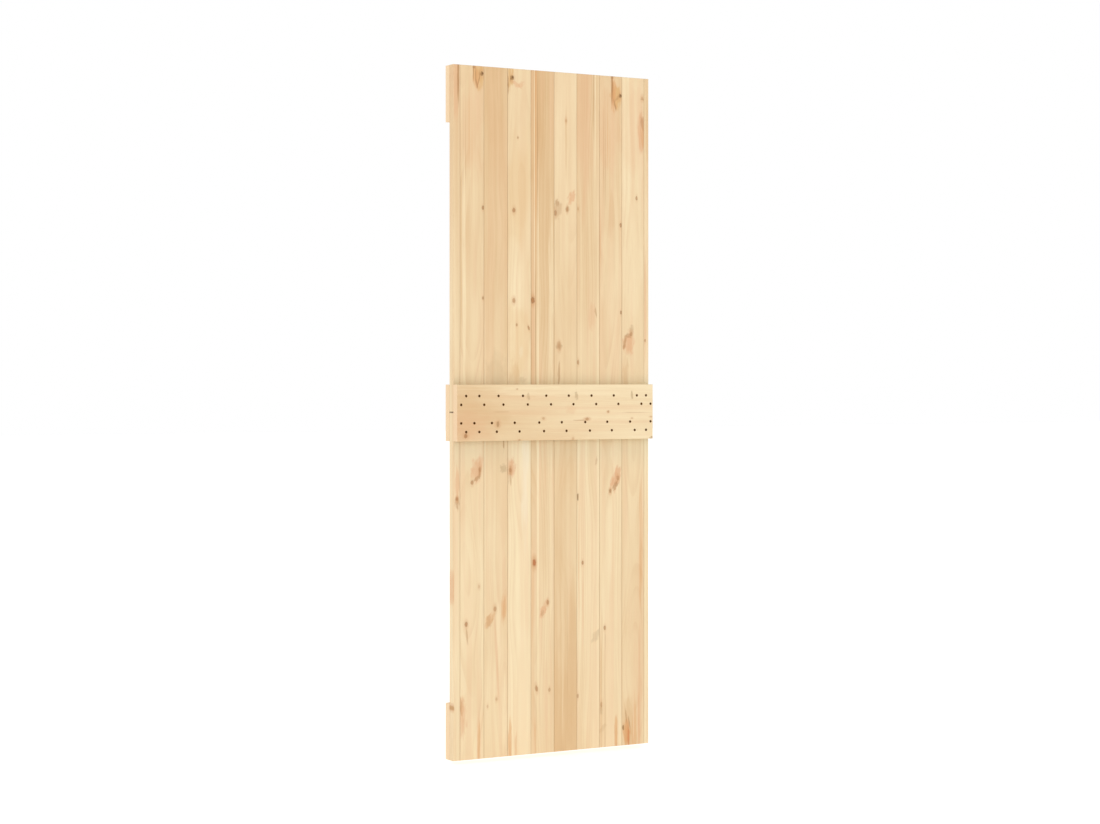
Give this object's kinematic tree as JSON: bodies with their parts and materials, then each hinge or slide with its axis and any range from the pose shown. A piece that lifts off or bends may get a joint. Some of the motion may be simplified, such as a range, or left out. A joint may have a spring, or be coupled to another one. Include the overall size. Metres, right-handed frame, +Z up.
{
  "type": "wooden sliding door",
  "caption": "Unfinished softwood sliding door leaf of upright tongue-and-groove boards held by horizontal battens on the front and back.",
  "frame": {"origin": "middle of the top edge, where the hangers carry the leaf, in the middle of the boards' thickness", "axes": "+X across the door to the right as seen from the front, +Y from the front to the back, +Z up"},
  "size_m": [0.7, 0.075, 2.1],
  "materials": {
    "boards": "planed and sanded bare softwood, matt",
    "battens": "planed and sanded bare softwood, matt"
  },
  "bodies": {
    "root": {"left_edge_strip": "boards", "board_1": "boards", "board_2": "boards", "board_3": "boards", "board_4": "boards", "board_5": "boards", "board_6": "boards", "board_7": "boards", "board_8": "boards", "right_edge_strip": "boards", "front_middle_batten": "battens", "back_top_batten": "battens", "back_middle_batten": "battens", "back_bottom_batten": "battens"}
  },
  "joints": []
}
